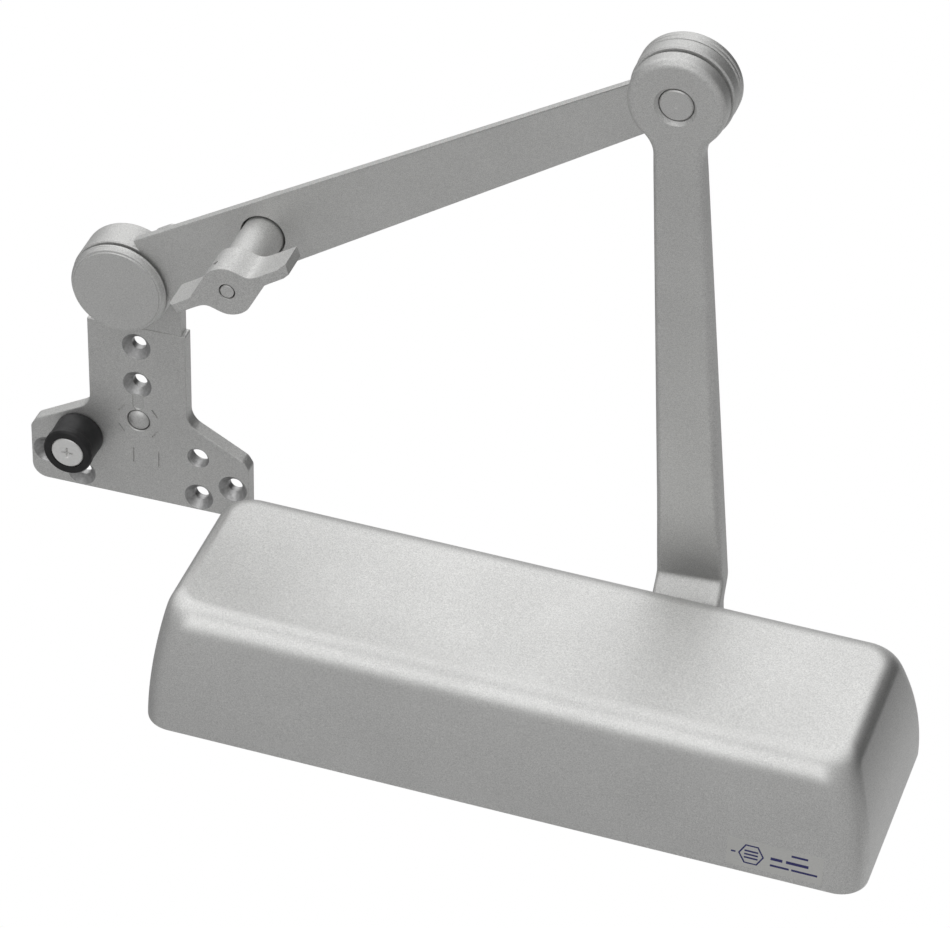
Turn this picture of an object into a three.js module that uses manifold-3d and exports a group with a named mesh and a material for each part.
// Surface-mounted hydraulic door closer with a full cover, a rigid parallel arm, a thumb-turn hold-open
// and a soffit shoe with a rubber stop. Millimetres. +Z is up along the pinion, the door's face is the
// plane y = 0 with the closer standing out towards -Y, and X runs along the cover. The origin is the
// middle of the mounting face.
import * as THREE from 'three';
import { mergeVertices } from 'three/addons/utils/BufferGeometryUtils.js';
import Module from 'manifold-3d';

const wasm = await Module();
wasm.setup();

// ---------------------------------------------------------------------------------------------------------
// Driving dimensions
// ---------------------------------------------------------------------------------------------------------
const GAP = 0.3; // between pieces that touch
const RUN = 0.06; // radial running clearance

// cover
const COVER_LENGTH = 314;
const COVER_HEIGHT = 108;
const COVER_DEPTH = 57.5;
const COVER_WALL = 2.6;
const COVER_CORNER = 12.5; // radius of the four corners at the door
const CORNER_GROWTH = 0.03; // the corners grow rounder away from the door
const SIDE = { bow: 0.0031, edge: 14 }; // long walls: how they curve in, and the radius at the front
const LEFT_END = { bow: 0.0018, edge: 7.5 }; // end walls: the right one leans in more
const RIGHT_END = { bow: 0.0038, edge: 9 };
const SLOT_WIDTH = 38; // slot in the top wall for the pinion
const SLOT_DEPTH = 48;

// pinion and barrel
const PINION_X = 48.4;
const PINION_Y = -28.5;
const GEAR_MODULE = 2.2;
const GEAR_TEETH = 10;
const PRESSURE_ANGLE = THREE.MathUtils.degToRad(25);
const PITCH_R = GEAR_MODULE * GEAR_TEETH / 2;
const JOURNAL_R = 9;
const BORE_R = 19.5;
const BARREL_R = 25;
const BARREL_HALF = 112;
const BOSS_R = 19.5;
const BOSS_TOP = 42;
const BOSS_BOTTOM = -38;

// arms, measured in plan along each arm's own axis
const ARM_LENGTH = 252.4;
const ARM_ANGLE = -95.35;
const ARM_LOW = 57.4; // underside of the arm at the pinion
const ARM_NEAR = 65.8; // underside of the arm past the bend
const ARM_THICK = 8.6;
const BEND_START = 12.8;
const BEND_END = 17.2;
const ARM_HEAD_R = 20.9;
const ARM_HUB_R = 17;
const ELBOW_PIN_R = 7.2;
const FORE_LENGTH = 286.8;
const FORE_ANGLE = -32.81; // from the shoe pivot towards the elbow
const FORE_NEAR = 77.3;
const FORE_THICK = 4;
const FORE_END = 18;
const FORE_HEAD_R = 22.2;
const FORE_HEAD_TOP = 92.7;
const THUMB_S = 76.5;

// shoe
const SHOE_NEAR = 93;
const SHOE_THICK = 7;
const SHOE_TURN = -1.24;
const NECK_HALF = 22.9;
const EAR_HALF = 21.1;
const STOP_X = 28;
const STOP_Y = 96.8;

// thumb turn
const LEVER_NEAR = 34;
const LEVER_FAR = 51.5;
const SLEEVE_R = 9.2;

// ---------------------------------------------------------------------------------------------------------
// Helpers
// ---------------------------------------------------------------------------------------------------------
const rad = THREE.MathUtils.degToRad;

function solid(geometry) {
  const bare = geometry.clone();
  bare.deleteAttribute('normal');
  bare.deleteAttribute('uv');
  const merged = mergeVertices(bare, 1e-4);
  return new wasm.Manifold(new wasm.Mesh({
    numProp: 3,
    vertProperties: new Float32Array(merged.attributes.position.array),
    triVerts: new Uint32Array(merged.index.array),
  }));
}

function geometryOf(manifold) {
  const mesh = manifold.getMesh();
  const geometry = new THREE.BufferGeometry();
  geometry.setAttribute('position', new THREE.BufferAttribute(new Float32Array(mesh.vertProperties), 3));
  geometry.setIndex(new THREE.BufferAttribute(new Uint32Array(mesh.triVerts), 1));
  const flat = geometry.toNonIndexed();
  flat.computeVertexNormals();
  return flat;
}

// solid of revolution about +Z from [radius, z] pairs that start and end on the axis, lowest first
function turned(profile, segments = 24, x = 0, y = 0) {
  const points = profile.map(([r, z]) => new THREE.Vector2(r, z));
  const geometry = new THREE.LatheGeometry(points, segments);
  geometry.rotateX(Math.PI / 2);
  geometry.translate(x, y, 0);
  return solid(geometry);
}

function disc(r, z0, z1, x = 0, y = 0, segments = 24) {
  return turned([[0, z0], [r, z0], [r, z1], [0, z1]], segments, x, y);
}

// the same along X: [radius, x] pairs about the line (y, z)
function turnedX(profile, segments, y, z) {
  const points = profile.map(([r, x]) => new THREE.Vector2(r, x));
  const geometry = new THREE.LatheGeometry(points, segments);
  geometry.rotateZ(-Math.PI / 2);
  geometry.translate(0, y, z);
  return solid(geometry);
}

function rodX(r, x0, x1, y, z, segments = 48) {
  return turnedX([[0, x0], [r, x0], [r, x1], [0, x1]], segments, y, z);
}

function rodY(r, y0, y1, x, z, segments = 24) {
  const geometry = new THREE.CylinderGeometry(r, r, y1 - y0, segments);
  geometry.translate(x, (y0 + y1) / 2, z);
  return solid(geometry);
}

function block(x0, x1, y0, y1, z0, z1) {
  const geometry = new THREE.BoxGeometry(x1 - x0, y1 - y0, z1 - z0);
  geometry.translate((x0 + x1) / 2, (y0 + y1) / 2, (z0 + z1) / 2);
  return solid(geometry);
}

function prism(points, z0, z1) {
  const shape = new THREE.Shape(points.map(([x, y]) => new THREE.Vector2(x, y)));
  const geometry = new THREE.ExtrudeGeometry(shape, { depth: z1 - z0, bevelEnabled: false });
  geometry.translate(0, 0, z0);
  return solid(geometry);
}

// outline in the plane of an arm's length and height, extruded across the arm
function sideProfile(points, halfWidth) {
  const shape = new THREE.Shape(points.map(([s, z]) => new THREE.Vector2(s, z)));
  const geometry = new THREE.ExtrudeGeometry(shape, { depth: 2 * halfWidth, bevelEnabled: false });
  geometry.rotateX(Math.PI / 2);
  geometry.translate(0, halfWidth, 0);
  return solid(geometry);
}

function arc(cx, cy, r, from, to, steps) {
  const points = [];
  for (let i = 0; i <= steps; i += 1) {
    const a = rad(from + (to - from) * i / steps);
    points.push([cx + r * Math.cos(a), cy + r * Math.sin(a)]);
  }
  return points;
}

// rounds every corner of a closed outline; each entry is [x, y, radius]
function rounded(corners, steps = 5) {
  const points = [];
  const n = corners.length;
  corners.forEach(([x, y, r], i) => {
    if (!r) {
      points.push([x, y]);
      return;
    }
    const here = new THREE.Vector2(x, y);
    const back = new THREE.Vector2(...corners[(i + n - 1) % n]).sub(here).normalize();
    const next = new THREE.Vector2(...corners[(i + 1) % n]).sub(here).normalize();
    const half = Math.acos(THREE.MathUtils.clamp(back.dot(next), -1, 1)) / 2;
    const reach = r / Math.tan(half);
    const a = here.clone().addScaledVector(back, reach);
    const b = here.clone().addScaledVector(next, reach);
    const centre = back.clone().add(next).normalize().multiplyScalar(r / Math.sin(half)).add(here);
    const a0 = Math.atan2(a.y - centre.y, a.x - centre.x);
    let turn = Math.atan2(b.y - centre.y, b.x - centre.x) - a0;
    if (turn > Math.PI) turn -= 2 * Math.PI;
    if (turn < -Math.PI) turn += 2 * Math.PI;
    for (let k = 0; k <= steps; k += 1) {
      const angle = a0 + turn * k / steps;
      points.push([centre.x + r * Math.cos(angle), centre.y + r * Math.sin(angle)]);
    }
  });
  return points;
}

function ring(outer, inner, z0, z1, x = 0, y = 0, segments = 24) {
  return disc(outer, z0, z1, x, y, segments).subtract(disc(inner, z0 - 1, z1 + 1, x, y, segments));
}

const closer = new THREE.Group();
closer.name = 'door_closer';

const PAINT = { color: 0xb9bab8, roughness: 0.42, metalness: 0.55 };
const STEEL = { color: 0x9a9c9e, roughness: 0.35, metalness: 0.9 };
const DARK_STEEL = { color: 0x4b4d50, roughness: 0.5, metalness: 0.8 };
const CASTING = { color: 0x8d8f8f, roughness: 0.6, metalness: 0.6 };
const BRONZE = { color: 0xa67c45, roughness: 0.4, metalness: 0.9 };
const RUBBER = { color: 0x1c1c1d, roughness: 0.8, metalness: 0 };

function add(parent, name, shape, look) {
  const mesh = new THREE.Mesh(geometryOf(shape), new THREE.MeshStandardMaterial(look));
  mesh.name = name;
  parent.add(mesh);
  return mesh;
}

// ---------------------------------------------------------------------------------------------------------
// Cover: a bowed shell, open at the door
// ---------------------------------------------------------------------------------------------------------
// how far a wall has curved in at a depth, with the radius where it turns into the front face
function wallInset({ bow, edge }, depth, wall) {
  const centre = COVER_DEPTH - edge;
  const lean = Math.atan(2 * bow * centre);
  const r = edge - wall;
  const start = centre + r * Math.sin(lean);
  if (depth <= start) return bow * depth * depth + wall;
  const middle = bow * start * start + wall + r * Math.cos(lean);
  return middle - Math.sqrt(Math.max(0, r * r - (depth - centre) ** 2));
}

// depths from the door to the middle of the front face, closer together round the front edge
function coverDepths(wall) {
  const centre = COVER_DEPTH - SIDE.edge;
  const depths = [];
  for (let i = 0; i < 5; i += 1) depths.push(centre * i / 5);
  for (let i = 0; i <= 8; i += 1) depths.push(centre + (SIDE.edge - wall) * Math.sin(rad(90 * i / 8)));
  return depths;
}

function coverSection(depth, wall) {
  const halfZ = COVER_HEIGHT / 2 - wallInset(SIDE, depth, wall);
  const points = [];
  const corners = [[1, 1, 0], [-1, 1, 90], [-1, -1, 180], [1, -1, 270]];
  corners.forEach(([sx, sz, from]) => {
    const end = sx > 0 ? RIGHT_END : LEFT_END;
    const endInset = wallInset(end, depth, wall);
    const halfX = COVER_LENGTH / 2 - endInset;
    const turnedIn = endInset - wall - end.bow * depth * depth;
    const r = COVER_CORNER - wall + CORNER_GROWTH * depth - Math.max(0, turnedIn);
    arc(sx * (halfX - r), sz * (halfZ - r), r, from, from + 90, 6).forEach(([x, z]) => {
      points.push([x, -depth, z]);
    });
  });
  return points;
}

function coverSolid(wall) {
  const sections = coverDepths(wall).map((depth) => coverSection(depth, wall));
  const count = sections[0].length;
  const positions = sections.flat(2);
  const last = sections.length - 1;
  const backCentre = sections.length * count;
  const frontCentre = backCentre + 1;
  positions.push(0, sections[0][0][1], 0, 0, sections[last][0][1], 0);
  const index = [];
  for (let j = 0; j < last; j += 1) {
    for (let i = 0; i < count; i += 1) {
      const k = (i + 1) % count;
      const a = j * count + i;
      const b = j * count + k;
      const c = (j + 1) * count + i;
      const d = (j + 1) * count + k;
      index.push(a, b, c, b, d, c);
    }
  }
  for (let i = 0; i < count; i += 1) {
    const k = (i + 1) % count;
    index.push(backCentre, k, i);
    index.push(frontCentre, last * count + i, last * count + k);
  }
  const geometry = new THREE.BufferGeometry();
  geometry.setAttribute('position', new THREE.Float32BufferAttribute(positions, 3));
  geometry.setIndex(index);
  return solid(geometry);
}

const COVER_SCREW_X = [-118, 128];
const COVER_SCREW_Y = -9;
const CORNER_INNER = COVER_CORNER - COVER_WALL;
const slotPoints = [
  [PINION_X - SLOT_WIDTH / 2, 1],
  [PINION_X - SLOT_WIDTH / 2, -SLOT_DEPTH + SLOT_WIDTH / 2],
  ...arc(PINION_X, -SLOT_DEPTH + SLOT_WIDTH / 2, SLOT_WIDTH / 2, 180, 360, 12),
  [PINION_X + SLOT_WIDTH / 2, 1],
];
let cover = coverSolid(0).subtract(coverSolid(COVER_WALL));
const mouth = rounded([
  [-COVER_LENGTH / 2 + COVER_WALL + 0.1, -COVER_HEIGHT / 2 + COVER_WALL + 0.1, CORNER_INNER],
  [COVER_LENGTH / 2 - COVER_WALL - 0.1, -COVER_HEIGHT / 2 + COVER_WALL + 0.1, CORNER_INNER],
  [COVER_LENGTH / 2 - COVER_WALL - 0.1, COVER_HEIGHT / 2 - COVER_WALL - 0.1, CORNER_INNER],
  [-COVER_LENGTH / 2 + COVER_WALL + 0.1, COVER_HEIGHT / 2 - COVER_WALL - 0.1, CORNER_INNER],
], 7);
const mouthShape = new THREE.Shape(mouth.map(([x, z]) => new THREE.Vector2(x, z)));
const mouthGeometry = new THREE.ExtrudeGeometry(mouthShape, { depth: 3, bevelEnabled: false });
mouthGeometry.rotateX(Math.PI / 2);
mouthGeometry.translate(0, 2, 0);
cover = cover.subtract(solid(mouthGeometry));
cover = cover.subtract(prism(slotPoints, 40, 60));
COVER_SCREW_X.forEach((x) => {
  cover = cover.subtract(disc(2.6, 45, 60, x, COVER_SCREW_Y, 24));
});
add(closer, 'cover', cover, PAINT);

// two screws through the top wall into the lugs of the body
COVER_SCREW_X.forEach((x, i) => {
  const screw = turned([[0, 43.5], [2.1, 43.5], [2.1, 54.25], [4.6, 54.25], [4.4, 55.9], [3.4, 56.8],
    [0, 56.8]], 24, x, COVER_SCREW_Y);
  const drive = block(x - 3.2, x + 3.2, COVER_SCREW_Y - 0.5, COVER_SCREW_Y + 0.5, 55.6, 58)
    .add(block(x - 0.5, x + 0.5, COVER_SCREW_Y - 3.2, COVER_SCREW_Y + 3.2, 55.6, 58));
  add(closer, ['cover_screw_left', 'cover_screw_right'][i], screw.subtract(drive), STEEL);
});

// ---------------------------------------------------------------------------------------------------------
// Body: barrel with a cross bore for the pinion, on a mounting plate
// ---------------------------------------------------------------------------------------------------------
const FOOT_X = [-125, 125];
const FOOT_Z = [-31, 31];
const plateOutline = rounded([[-138, -40, 9], [138, -40, 9], [138, 40, 9], [-138, 40, 9]]);
const plateShape = new THREE.Shape(plateOutline.map(([x, z]) => new THREE.Vector2(x, z)));
const plateGeometry = new THREE.ExtrudeGeometry(plateShape, { depth: 6, bevelEnabled: false });
plateGeometry.rotateX(Math.PI / 2);
let body = solid(plateGeometry);
body = body.add(rodX(BARREL_R, -BARREL_HALF, BARREL_HALF, PINION_Y, 0, 48));
body = body.add(block(-BARREL_HALF, BARREL_HALF, PINION_Y, -1, -20, 20));
body = body.add(disc(BOSS_R, BOSS_BOTTOM, BOSS_TOP, PINION_X, PINION_Y));
body = body.add(block(PINION_X - BOSS_R, PINION_X + BOSS_R, PINION_Y, -1, BOSS_BOTTOM, 40));
COVER_SCREW_X.forEach((x) => {
  body = body.add(block(x - 6, x + 6, COVER_SCREW_Y - 6, -1, 30, 47.5));
});
body = body.subtract(rodX(BORE_R, -BARREL_HALF - 1, BARREL_HALF + 1, PINION_Y, 0, 48));
body = body.subtract(disc(14.6, BOSS_BOTTOM - 1, BOSS_TOP + 1, PINION_X, PINION_Y, 32));
FOOT_X.forEach((x) => FOOT_Z.forEach((z) => {
  body = body.subtract(rodY(3.6, -8, 1, x, z, 24));
}));
COVER_SCREW_X.forEach((x) => {
  body = body.subtract(disc(2.3, 42, 50, x, COVER_SCREW_Y, 24));
});
const VALVES = [[-9, 12], [9, 12], [0, -13]];
add(closer, 'body_casting', body, CASTING);

// left plug carries the spring adjusting screw
const leftPlug = turnedX([[0, -121], [10, -121], [15, -118], [21.8, -118], [21.8, -BARREL_HALF - GAP],
  [BORE_R - GAP, -BARREL_HALF - GAP], [BORE_R - GAP, -103], [0, -103]], 32, PINION_Y, 0)
  .subtract(rodX(5.2, -125, -100, PINION_Y, 0, 32));
add(closer, 'end_plug_left', leftPlug, DARK_STEEL);
const adjuster = turnedX([[0, -124], [4.4, -124], [5, -123.4], [5, -97], [11, -97], [11, -94], [0, -94]],
  32, PINION_Y, 0).subtract(block(-125, -122, PINION_Y - 4, PINION_Y + 4, -0.7, 0.7));
add(closer, 'spring_adjusting_screw', adjuster, STEEL);

const seatRing = turnedX([[0, -93.6], [BORE_R - 0.4, -93.6], [BORE_R - 0.4, -91], [9, -91], [9, -86],
  [0, -86]], 32, PINION_Y, 0);
add(closer, 'spring_seat', seatRing, STEEL);

const PISTON_LEFT = 12;
const PISTON_RIGHT = 105.6;
const SPRING_R = 13.8;
const SPRING_WIRE = 2.4;
const SPRING_TURNS = 9;

class SpringCurve extends THREE.Curve {
  getPoint(t, target = new THREE.Vector3()) {
    const a = 2 * Math.PI * SPRING_TURNS * t;
    const x0 = -91 + SPRING_WIRE + GAP;
    const x1 = PISTON_LEFT - SPRING_WIRE - GAP;
    return target.set(x0 + (x1 - x0) * t, PINION_Y + SPRING_R * Math.cos(a), SPRING_R * Math.sin(a));
  }
}
const wire = new THREE.Shape(arc(0, 0, SPRING_WIRE, 0, 300, 5).map(([x, y]) => new THREE.Vector2(x, y)));
const springGeometry = new THREE.ExtrudeGeometry(wire, {
  steps: SPRING_TURNS * 12, bevelEnabled: false, extrudePath: new SpringCurve(),
});
add(closer, 'closing_spring', solid(springGeometry), DARK_STEEL);

// right plug carries the three speed valves
let rightPlug = turnedX([[0, 106.6], [BORE_R - GAP, 106.6], [BORE_R - GAP, BARREL_HALF + GAP],
  [21.8, BARREL_HALF + GAP], [21.8, 119], [20.8, 120], [0, 120]], 32, PINION_Y, 0);
VALVES.forEach(([dy, dz]) => {
  rightPlug = rightPlug.subtract(rodX(3.1, 109, 122, PINION_Y + dy, dz, 24));
});
add(closer, 'end_plug_right', rightPlug, DARK_STEEL);
['valve_sweep', 'valve_latch', 'valve_backcheck'].forEach((name, i) => {
  const [dy, dz] = VALVES[i];
  const y = PINION_Y + dy;
  const valve = turnedX([[0, 109.6], [2.2, 110.6], [3, 112], [3, 122.4], [2.5, 123], [0, 123]], 24, y, dz)
    .subtract(block(121.4, 124, y - 0.45, y + 0.45, dz - 2.4, dz + 2.4));
  add(closer, name, valve, BRONZE);
});

// ---------------------------------------------------------------------------------------------------------
// Piston with rack, and pinion
// ---------------------------------------------------------------------------------------------------------
const RACK_HALF_TOOTH = Math.PI * GEAR_MODULE / 4 - 0.16;
const RACK_ADDENDUM = 0.8 * GEAR_MODULE;
const RACK_DEDENDUM = 1.2 * GEAR_MODULE;
const WINDOW_LEFT = PINION_X - 15;
const WINDOW_RIGHT = PINION_X + 34;
let piston = turnedX([[0, PISTON_LEFT], [BORE_R - RUN - 1, PISTON_LEFT], [BORE_R - RUN, PISTON_LEFT + 1],
  [BORE_R - RUN, PISTON_LEFT + 7], [BORE_R - 1.2, PISTON_LEFT + 7], [BORE_R - 1.2, PISTON_LEFT + 9],
  [BORE_R - RUN, PISTON_LEFT + 9], [BORE_R - RUN, PISTON_RIGHT - 1], [BORE_R - RUN - 1, PISTON_RIGHT],
  [0, PISTON_RIGHT]], 48, PINION_Y, 0);
piston = piston.subtract(block(WINDOW_LEFT, WINDOW_RIGHT, PINION_Y - 13.6,
  PINION_Y + PITCH_R + RACK_DEDENDUM, -21, 21));
const pitch = Math.PI * GEAR_MODULE;
const rackY = PINION_Y + PITCH_R;
const rackTop = RACK_ADDENDUM;
const toothSlope = Math.tan(PRESSURE_ANGLE);
for (let k = -3; k <= 5; k += 1) {
  const x = PINION_X + k * pitch;
  if (x - pitch / 2 < WINDOW_LEFT + 0.5 || x + pitch / 2 > WINDOW_RIGHT - 0.5) continue;
  const low = RACK_HALF_TOOTH + RACK_DEDENDUM * toothSlope;
  const high = RACK_HALF_TOOTH - rackTop * toothSlope;
  piston = piston.add(prism([
    [x - low, rackY + RACK_DEDENDUM], [x - high, rackY - rackTop], [x + high, rackY - rackTop],
    [x + low, rackY + RACK_DEDENDUM], [x + low, rackY + RACK_DEDENDUM + 0.5],
    [x - low, rackY + RACK_DEDENDUM + 0.5],
  ], -11.4, 11.4));
}
add(closer, 'piston', piston, STEEL);

// involute tooth, with one tooth space facing the rack's middle tooth
function gearOutline() {
  const baseR = PITCH_R * Math.cos(PRESSURE_ANGLE);
  const tipR = PITCH_R + 0.85 * GEAR_MODULE;
  const rootR = PITCH_R - 1.15 * GEAR_MODULE;
  const involute = (r) => {
    const a = Math.acos(Math.min(1, baseR / r));
    return Math.tan(a) - a;
  };
  const halfTooth = (Math.PI * GEAR_MODULE / 4 - 0.16) / PITCH_R;
  const half = (r) => halfTooth + involute(PITCH_R) - involute(r);
  const flank = [];
  for (let i = 0; i <= 3; i += 1) flank.push(baseR + (tipR - baseR) * i / 3);
  const points = [];
  for (let k = 0; k < GEAR_TEETH; k += 1) {
    const centre = Math.PI / 2 + (k + 0.5) * 2 * Math.PI / GEAR_TEETH;
    const at = (r, a) => points.push([r * Math.cos(centre + a), r * Math.sin(centre + a)]);
    at(rootR, -half(baseR));
    flank.forEach((r) => at(r, -half(r)));
    [...flank].reverse().forEach((r) => at(r, half(r)));
    at(rootR, half(baseR));
  }
  return points;
}
const SQUARE = 6.4; // half the width of the driving square
let pinion = prism(gearOutline(), -12, 12);
pinion = pinion.add(turned([[0, -31], [8, -31], [JOURNAL_R, -30], [JOURNAL_R, 52], [8.4, 53],
  [8.4, ARM_LOW - GAP], [0, ARM_LOW - GAP]], 32));
pinion = pinion.add(block(-SQUARE, SQUARE, -SQUARE, SQUARE, ARM_LOW - 1, ARM_LOW + 8.4));
pinion = pinion.subtract(disc(3.2, 44, 70, 0, 0, 24));
const pinionPlaced = pinion.translate([PINION_X, PINION_Y, 0]);
add(closer, 'pinion_shaft', pinionPlaced, STEEL);

add(closer, 'bearing_upper', ring(14.3, JOURNAL_R + RUN, 20.4, 31, PINION_X, PINION_Y, 32), BRONZE);
add(closer, 'bearing_lower', ring(14.3, JOURNAL_R + RUN, -29, -20.4, PINION_X, PINION_Y, 32), BRONZE);
add(closer, 'pinion_seal', ring(14, JOURNAL_R + 0.1, 31.5, 35, PINION_X, PINION_Y, 32), RUBBER);
const gland = turned([[0, 35.4], [14.2, 35.4], [14.2, BOSS_TOP + GAP], [16, BOSS_TOP + GAP], [16, 45.2],
  [15.2, 46], [0, 46]], 32, PINION_X, PINION_Y)
  .subtract(disc(JOURNAL_R + 0.15, 30, 50, PINION_X, PINION_Y, 32));
add(closer, 'gland_nut', gland, STEEL);
const lowerCap = turned([[0, -42], [12, -42], [15.5, -41], [16.5, -40], [16.5, BOSS_BOTTOM - GAP],
  [14.2, BOSS_BOTTOM - GAP], [14.2, -31.6], [0, -31.6]], 32, PINION_X, PINION_Y)
  .subtract(prism(arc(PINION_X, PINION_Y, 4, 0, 300, 5), -43, -38));
add(closer, 'pinion_cap', lowerCap, DARK_STEEL);

// ---------------------------------------------------------------------------------------------------------
// Main arm, built along +X from the pinion and then turned into place
// ---------------------------------------------------------------------------------------------------------
const armTurn = new THREE.Group();
armTurn.position.set(PINION_X, PINION_Y, 0);
armTurn.rotation.z = rad(ARM_ANGLE);
closer.add(armTurn);

function armHalf(s) {
  return 15.2 - 0.0198 * s;
}

const NECK_S = ARM_LENGTH - 29;
const headJoin = Math.sqrt(ARM_HEAD_R ** 2 - 14 ** 2);
const armPlan = [
  ...arc(0, 0, ARM_HUB_R, 118, 242, 14),
  [BEND_START + 3, -armHalf(BEND_START)],
  [60, -armHalf(60)],
  [NECK_S - 14, -armHalf(NECK_S - 14)],
  [NECK_S - 6, -armHalf(NECK_S) - 0.1],
  [NECK_S, -armHalf(NECK_S) - 0.7],
  [NECK_S + 6, -armHalf(NECK_S) - 2.2],
  [ARM_LENGTH - headJoin, -14],
  ...arc(ARM_LENGTH, 0, ARM_HEAD_R, 222, 498, 44).slice(1, -1),
  [ARM_LENGTH - headJoin, 14],
  [NECK_S + 6, armHalf(NECK_S) + 2.2],
  [NECK_S, armHalf(NECK_S) + 0.7],
  [NECK_S - 6, armHalf(NECK_S) + 0.1],
  [NECK_S - 14, armHalf(NECK_S - 14)],
  [60, armHalf(60)],
  [BEND_START + 3, armHalf(BEND_START)],
];
const ARM_TOP = ARM_NEAR + ARM_THICK;
const EDGE = 2.2;
const armSide = [
  [-ARM_HUB_R - 1, ARM_LOW], [BEND_START - 1.5, ARM_LOW], [BEND_START, ARM_LOW + 0.9],
  [BEND_END - 0.8, ARM_NEAR - 1], [BEND_END + 1.4, ARM_NEAR], [ARM_LENGTH + 30, ARM_NEAR],
  [ARM_LENGTH + 30, ARM_TOP], [BEND_END + 1.5, ARM_TOP], [BEND_END - 2, ARM_TOP - 1.4],
  [BEND_START - 1.5, ARM_LOW + ARM_THICK + 0.6], [BEND_START - 3, ARM_LOW + ARM_THICK],
  [-ARM_HUB_R - 1, ARM_LOW + ARM_THICK],
];

// the arm with its lower edges eased: a stack of slightly smaller outlines under the full one
function outlineInset(points, inset) {
  const n = points.length;
  return points.map(([x, y], i) => {
    const [ax, ay] = points[(i + n - 1) % n];
    const [bx, by] = points[(i + 1) % n];
    const t = new THREE.Vector2(bx - ax, by - ay).normalize();
    return [x - t.y * inset, y + t.x * inset];
  });
}
const plain = sideProfile(armSide, 30);
let mainArm = plain.intersect(prism(armPlan, 50, 90));
const lip = 1.2;
const upperOnly = prism(armPlan, ARM_NEAR + EDGE, 90).add(prism(armPlan, 50, ARM_NEAR + EDGE)
  .intersect(block(-30, BEND_END + 4, -30, 30, 40, 90)));
const eased = prism(outlineInset(armPlan, lip), 50, 90);
const bevelled = prism(outlineInset(armPlan, lip * 0.35), ARM_NEAR + EDGE * 0.4, 90);
mainArm = mainArm.intersect(upperOnly.add(eased).add(bevelled));
const headShape = turned([[0, ARM_NEAR], [ARM_HEAD_R - 3.4, ARM_NEAR], [ARM_HEAD_R - 2, ARM_NEAR + 0.3],
  [ARM_HEAD_R - 0.9, ARM_NEAR + 1], [ARM_HEAD_R - 0.25, ARM_NEAR + 2], [ARM_HEAD_R, ARM_NEAR + 3.4],
  [ARM_HEAD_R, ARM_TOP - 0.6], [ARM_HEAD_R - 0.6, ARM_TOP], [0, ARM_TOP]], 48, ARM_LENGTH, 0);
const bodyOfArm = mainArm.subtract(block(ARM_LENGTH - headJoin + 0.5, ARM_LENGTH + 30, -30, 30, 40, 90));
mainArm = bodyOfArm.add(headShape);
mainArm = mainArm.subtract(turned([[0, 60], [8.7, 60], [8.7, ARM_NEAR + 0.2],
  [ELBOW_PIN_R + GAP, ARM_NEAR + 1.6], [ELBOW_PIN_R + GAP, 80], [0, 80]], 32, ARM_LENGTH, 0));
mainArm = mainArm.subtract(block(-SQUARE - 0.2, SQUARE + 0.2, -SQUARE - 0.2, SQUARE + 0.2, 50, 80)
  .rotate([0, 0, -ARM_ANGLE]));
add(armTurn, 'main_arm', mainArm, PAINT);

const armWasher = ring(9.2, 4.6, ARM_LOW + ARM_THICK + GAP, ARM_LOW + ARM_THICK + GAP + 1.6, 0, 0, 40);
add(armTurn, 'arm_washer', armWasher, STEEL);
const screwLow = ARM_LOW + ARM_THICK + 2 * GAP + 1.6;
const armScrew = turned([[0, 46], [3, 46], [3, screwLow], [7.4, screwLow], [7.4, screwLow + 4.4],
  [6.8, screwLow + 5], [0, screwLow + 5]], 36)
  .subtract(prism(arc(0, 0, 3.4, 0, 300, 5), screwLow + 1.4, screwLow + 6));
add(armTurn, 'arm_screw', armScrew, DARK_STEEL);

// elbow: pin fixed in the main arm, with the forearm's head turning on it
const ELBOW_CAP_TOP = 89.4;
const elbowPin = turned([[0, ARM_NEAR + 1.2], [ELBOW_PIN_R - 0.4, ARM_NEAR + 1.2],
  [ELBOW_PIN_R, ARM_NEAR + 1.6], [ELBOW_PIN_R, 87], [0, 87]], 32, ARM_LENGTH, 0);
add(armTurn, 'elbow_pin', elbowPin, PAINT);
const elbowWasher = ring(19, ELBOW_PIN_R + GAP, ARM_TOP + GAP, ARM_TOP + GAP + 0.5, ARM_LENGTH, 0);
add(armTurn, 'elbow_washer', elbowWasher, DARK_STEEL);
add(armTurn, 'elbow_spacer', ring(22.1, ELBOW_PIN_R + GAP, 83, 84.9, ARM_LENGTH, 0, 48), PAINT);
const elbowCap = turned([[0, 85.2], [21.6, 85.2], [22.1, 85.7], [22.1, 88.2], [21.7, 89],
  [20.8, ELBOW_CAP_TOP], [0, ELBOW_CAP_TOP]], 48, ARM_LENGTH, 0)
  .subtract(disc(ELBOW_PIN_R + GAP, 84, 87 + GAP, ARM_LENGTH, 0));
add(armTurn, 'elbow_cap', elbowCap, PAINT);

// ---------------------------------------------------------------------------------------------------------
// Forearm, built along +X from the shoe pivot to the elbow
// ---------------------------------------------------------------------------------------------------------
const elbow = new THREE.Vector2(ARM_LENGTH, 0).rotateAround(new THREE.Vector2(), rad(ARM_ANGLE))
  .add(new THREE.Vector2(PINION_X, PINION_Y));
const shoePivot = elbow.clone().sub(new THREE.Vector2(FORE_LENGTH, 0)
  .rotateAround(new THREE.Vector2(), rad(FORE_ANGLE)));
const foreTurn = new THREE.Group();
foreTurn.position.set(shoePivot.x, shoePivot.y, 0);
foreTurn.rotation.z = rad(FORE_ANGLE);
closer.add(foreTurn);

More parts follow.
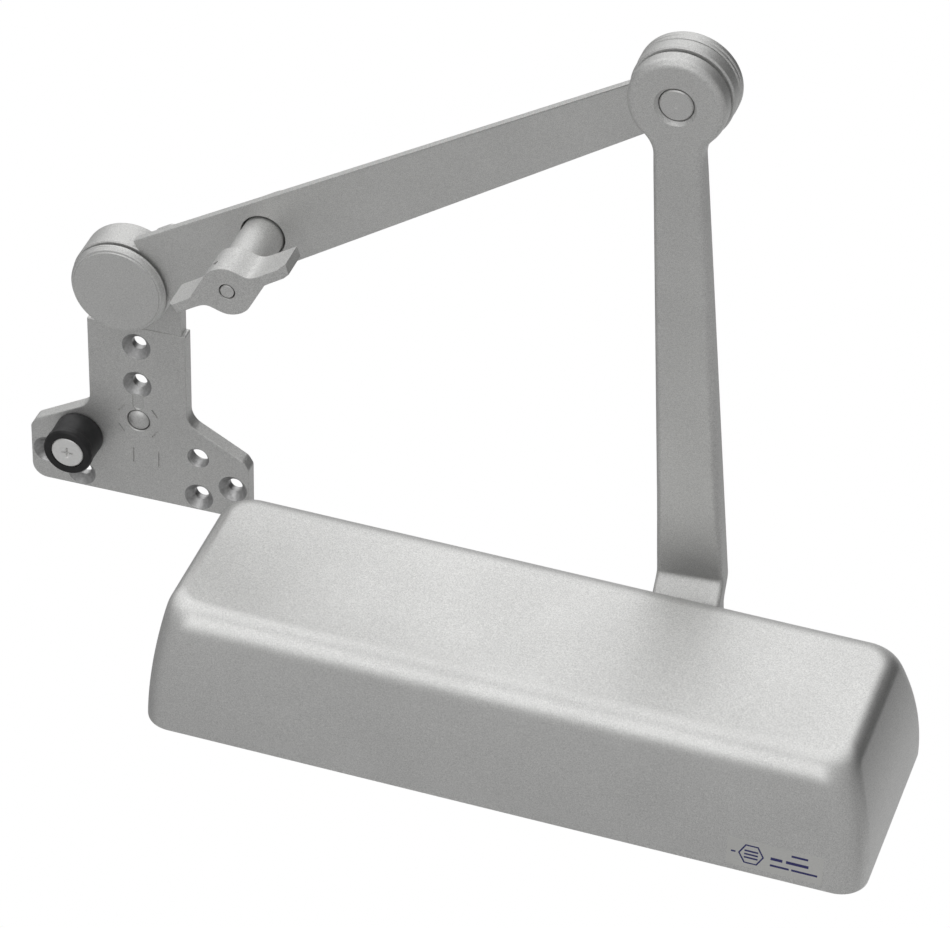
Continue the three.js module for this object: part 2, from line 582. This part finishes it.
const foreHalf = (s) => 17.9 - 0.0245 * s;
const PIVOT_R = 7;
const DRUM_R = 12;
let forearm = prism([
  [FORE_END, -foreHalf(FORE_END)], [FORE_LENGTH, -foreHalf(FORE_LENGTH)],
  [FORE_LENGTH, foreHalf(FORE_LENGTH)], [FORE_END, foreHalf(FORE_END)],
], FORE_NEAR, FORE_NEAR + FORE_THICK);
forearm = forearm.add(disc(FORE_HEAD_R, FORE_NEAR, FORE_HEAD_TOP, 0, 0, 48));
forearm = forearm.add(turned([[0, 75.7], [21.4, 75.7], [21.9, 76.2], [21.9, 82.2], [21.5, 82.6],
  [0, 82.6]], 48, FORE_LENGTH, 0));
forearm = forearm.subtract(disc(ELBOW_PIN_R + RUN, 70, 90, FORE_LENGTH, 0, 32));
forearm = forearm.subtract(disc(PIVOT_R + RUN, 70, 95, 0, 0, 32));
forearm = forearm.subtract(disc(DRUM_R + 0.5, 82.4, 95, 0, 0, 32));
forearm = forearm.subtract(block(8, 30, -4.4, 4.4, 83.6, 89.2));
forearm = forearm.subtract(disc(SLEEVE_R + 0.75, 70, 90, THUMB_S, 0, 36));
add(foreTurn, 'forearm', forearm, PAINT);

// hold-open: a housing above the bar, an eccentric peg on the spindle, and a latch that the peg pushes
// against the shoe's drum
const HOUSE_TOP = 91.4;
const housingOutline = rounded([[25, -11.5, 3], [92, -11.5, 6], [92, 11.5, 6], [25, 11.5, 3]], 5);
const housingInside = rounded([[20, -8.6, 0], [89.2, -8.6, 4], [89.2, 8.6, 4], [20, 8.6, 0]], 5);
const HOUSE_FLOOR = FORE_NEAR + FORE_THICK + GAP;
const EAR_THICK = 2;
const wideEar = rounded([[26, -16.6, 3], [38, -16.6, 3], [38, 16.6, 3], [26, 16.6, 3]]);
const endEar = rounded([[90, -6, 3], [100, -6, 3], [100, 6, 3], [90, 6, 3]]);
const housingEars = prism(wideEar, HOUSE_FLOOR, HOUSE_FLOOR + EAR_THICK)
  .add(prism(endEar, HOUSE_FLOOR, HOUSE_FLOOR + EAR_THICK));
const RIVET_PLACES = [[32, 13.9], [32, -13.9], [96, 0]];
let housing = prism(housingOutline, HOUSE_FLOOR, HOUSE_TOP).add(housingEars)
  .subtract(prism(housingInside, 70, HOUSE_TOP - 2));
RIVET_PLACES.forEach(([s, w]) => {
  housing = housing.subtract(disc(1.3, 80, 86, s, w, 16));
});
add(foreTurn, 'hold_open_housing', housing, PAINT);
RIVET_PLACES.forEach(([s, w], i) => {
  const rivet = turned([[0, HOUSE_FLOOR], [1.1, HOUSE_FLOOR], [1.1, HOUSE_FLOOR + 2.05],
    [2.1, HOUSE_FLOOR + 2.05], [1.7, HOUSE_FLOOR + 3], [0, HOUSE_FLOOR + 3.2]], 16, s, w);
  add(foreTurn, `housing_rivet_${i + 1}`, rivet, STEEL);
});

const PEG_OFFSET = 2.4;
const PEG_R = 2;
const PEG_HALF = PEG_OFFSET * Math.SQRT1_2; // the peg stands 45 degrees either side of square
const LATCH_NOSE = DRUM_R + 0.3 + 2 * PEG_HALF;
const LATCH_LOW = 84.2;
const LATCH_HIGH = 88.4;
const PEG_S = THUMB_S + PEG_HALF;
let latch = prism([
  [LATCH_NOSE, -2.4], [LATCH_NOSE + 2, -3.6], [60, -3.6], [62, -7.6], [83, -7.6], [83, 7.6], [62, 7.6],
  [60, 3.6], [LATCH_NOSE + 2, 3.6], [LATCH_NOSE, 2.4],
], LATCH_LOW, LATCH_HIGH);
latch = latch.subtract(block(PEG_S - PEG_R - 0.25, PEG_S + PEG_R + 0.25, -0.8, 4.9, 80, 92));
add(foreTurn, 'hold_open_latch', latch, STEEL);

const pegTurn = new THREE.Group();
pegTurn.position.set(THUMB_S, 0, 0);
foreTurn.add(pegTurn);
let spindle = turned([[0, 40], [4.6, 40], [4.6, 82.4], [7, 82.4], [7, 83.8], [0, 83.8]], 36);
spindle = spindle.add(disc(PEG_R, 83, 88.4, PEG_HALF, PEG_HALF, 24));
add(pegTurn, 'thumb_spindle', spindle, STEEL);

// lever: two wings on a round boss, with the sleeve that reaches the bar
const leverTurn = new THREE.Group();
leverTurn.rotation.z = -rad(FORE_ANGLE);
pegTurn.add(leverTurn);
const wing = [
  [0.9, 11.25], [3.4, 10.7], [5.9, 9.9], [8.3, 9.3], [10.6, 9.6], [13.4, 11], [17.4, 13.6], [24.4, 18.2],
  [26.2, 13.9], [17, 7.6], [15.6, 5.6], [9.9, -5.6], [8.3, -7.8], [6.4, -9.4], [3.9, -10.6], [1.5, -11.2],
];
const leverPlan = [...wing, ...wing.map(([x, y]) => [-x, -y])].map(([x, y]) => [x, -y]).reverse();
let lever = prism(leverPlan, LEVER_NEAR, LEVER_FAR);
[0, 180].forEach((turn) => {
  const tip = new THREE.BoxGeometry(8, 14, 8);
  tip.rotateY(Math.PI / 4);
  tip.translate(31.8, 0, LEVER_NEAR - 1.2);
  tip.rotateZ(rad(-32.5 + turn));
  lever = lever.subtract(solid(tip));
});
lever = lever.add(disc(SLEEVE_R, LEVER_FAR - 1, FORE_NEAR + 2.5, 0, 0, 36));
lever = lever.subtract(disc(4.9, 39.6, 90, 0, 0, 36));
lever = lever.subtract(disc(3.6, LEVER_NEAR - 1, 45, 0, 0, 36));
const slotAngle = rad(-130);
const pinSlot = new THREE.CylinderGeometry(1.1, 1.1, 12, 20);
pinSlot.rotateZ(Math.PI / 2);
pinSlot.translate(9, 0, 0);
pinSlot.rotateZ(slotAngle);
pinSlot.translate(0, 0, 40.4);
lever = lever.subtract(solid(pinSlot));
add(leverTurn, 'thumb_lever', lever, PAINT);
const leverPin = turned([[0, LEVER_NEAR + 0.05], [3, LEVER_NEAR + 0.05], [3.2, LEVER_NEAR + 0.3],
  [3.2, 39.4], [0, 39.4]], 36);
add(leverTurn, 'lever_pin', leverPin, PAINT);
const setScrew = new THREE.CylinderGeometry(0.95, 0.95, 4.6, 16);
setScrew.rotateZ(Math.PI / 2);
setScrew.translate(8, 0, 0);
setScrew.rotateZ(slotAngle);
setScrew.translate(0, 0, 40.4);
add(leverTurn, 'lever_set_screw', solid(setScrew), DARK_STEEL);

// ---------------------------------------------------------------------------------------------------------
// Shoe: plate screwed to the soffit, pivot, stop and dome pin. +Y of its own frame points at the door.
// ---------------------------------------------------------------------------------------------------------
const shoeTurn = new THREE.Group();
shoeTurn.position.set(shoePivot.x, shoePivot.y, 0);
shoeTurn.rotation.z = rad(SHOE_TURN);
closer.add(shoeTurn);

const SHOE_FAR = SHOE_NEAR + SHOE_THICK;
const halfPlate = [
  [EAR_HALF, 32.8, 0.6], [NECK_HALF, 32.8, 0.8], [NECK_HALF, 79.5, 9], [49.5, 94.2, 5], [51.7, 98, 3],
  [51.7, 125.7, 7],
];
const leftHalf = [...halfPlate].reverse().map(([x, y, r]) => [-x, y, r]);
const plateCorners = rounded([...halfPlate, ...leftHalf], 4);
const shoePlan = [...plateCorners, ...arc(0, 7, EAR_HALF, 180, 360, 28)];
let shoe = prism(shoePlan, SHOE_NEAR, SHOE_FAR);
shoe = shoe.subtract(block(-30, 30, -20, 32.8, SHOE_NEAR - 1, SHOE_NEAR + 0.4));
const SCREW_HOLES = [[0, 43.1], [0, 63.5], [28, 118.4], [44.1, 110], [-28, 118.4], [-44.1, 110]];
SCREW_HOLES.forEach(([x, y]) => {
  shoe = shoe.subtract(turned([[0, SHOE_NEAR - 1], [7.6, SHOE_NEAR - 1], [3.4, SHOE_NEAR + 3.2], [3.4, 102],
    [0, 102]], 20, x, y));
});
shoe = shoe.subtract(disc(4.9, 90, 102, STOP_X, STOP_Y, 24));
shoe = shoe.subtract(disc(4.9, 90, 102, -STOP_X, STOP_Y, 24));
shoe = shoe.subtract(disc(5.4, 90, 98, 0, 83.1, 24));
shoe = shoe.subtract(block(-2.6, 2.6, 66, 79, SHOE_NEAR - 1, SHOE_NEAR + 0.8));
shoe = shoe.subtract(disc(PIVOT_R + GAP, 90, 102, 0, 0));
add(shoeTurn, 'shoe_plate', shoe, PAINT);

const CAP_NEAR = 72;
const CAP_R = 21.6;
const pivotCap = turned([[0, CAP_NEAR], [19.6, CAP_NEAR], [20.2, CAP_NEAR + 0.3], [CAP_R, CAP_NEAR + 2.6],
  [CAP_R, 75.7], [21.2, 76], [0, 76]], 48).subtract(disc(PIVOT_R + GAP, 73.6, 80));
add(shoeTurn, 'pivot_cap', pivotCap, PAINT);
const pivotPin = turned([[0, 73.9], [PIVOT_R, 73.9], [PIVOT_R, 98.6], [6.4, 99.2], [0, 99.2]], 32);
add(shoeTurn, 'shoe_pivot_pin', pivotPin, STEEL);
add(shoeTurn, 'pivot_washer', ring(20, PIVOT_R + GAP, 76.3, 77), DARK_STEEL);
const drum = ring(DRUM_R, PIVOT_R + GAP, 82.8, 92.4, 0, 0, 32);
add(shoeTurn, 'hold_open_drum', drum, STEEL);

const domePin = turned([[0, 91.7], [1.6, 91.8], [3.2, 92.2], [4.5, 92.9], [5.1, 93.6], [5.1, 97.7],
  [0, 97.7]], 24, 0, 83.1);
add(shoeTurn, 'dome_pin', domePin, STEEL);

const STOP_LOW = 77;
const bumper = turned([[0, STOP_LOW], [10.3, STOP_LOW], [11.1, STOP_LOW + 0.4], [11.4, STOP_LOW + 1.1],
  [11.4, STOP_LOW + 3], [11.1, STOP_LOW + 3.6], [11.3, SHOE_NEAR - GAP], [0, SHOE_NEAR - GAP]],
  32, -STOP_X, STOP_Y)
  .subtract(turned([[0, 70], [7.8, 70], [7.8, STOP_LOW + 3], [4.2, STOP_LOW + 3], [4.2, 95], [0, 95]], 32,
    -STOP_X, STOP_Y));
add(shoeTurn, 'bumper', bumper, RUBBER);
const bumperScrew = turned([[0, STOP_LOW + 0.6], [6.4, STOP_LOW + 0.7], [7.4, STOP_LOW + 1.2],
  [7.5, STOP_LOW + 1.8], [7.2, STOP_LOW + 2.7], [3.9, STOP_LOW + 2.7], [3.9, SHOE_FAR - 0.4],
  [0, SHOE_FAR - 0.4]], 32, -STOP_X, STOP_Y);
const cross = block(-2.6, 2.6, -0.55, 0.55, STOP_LOW, STOP_LOW + 2.2).add(
  block(-0.55, 0.55, -2.6, 2.6, STOP_LOW, STOP_LOW + 2.2),
).translate([-STOP_X, STOP_Y, 0]);
add(shoeTurn, 'bumper_screw', bumperScrew.subtract(cross), STEEL);

export default closer;
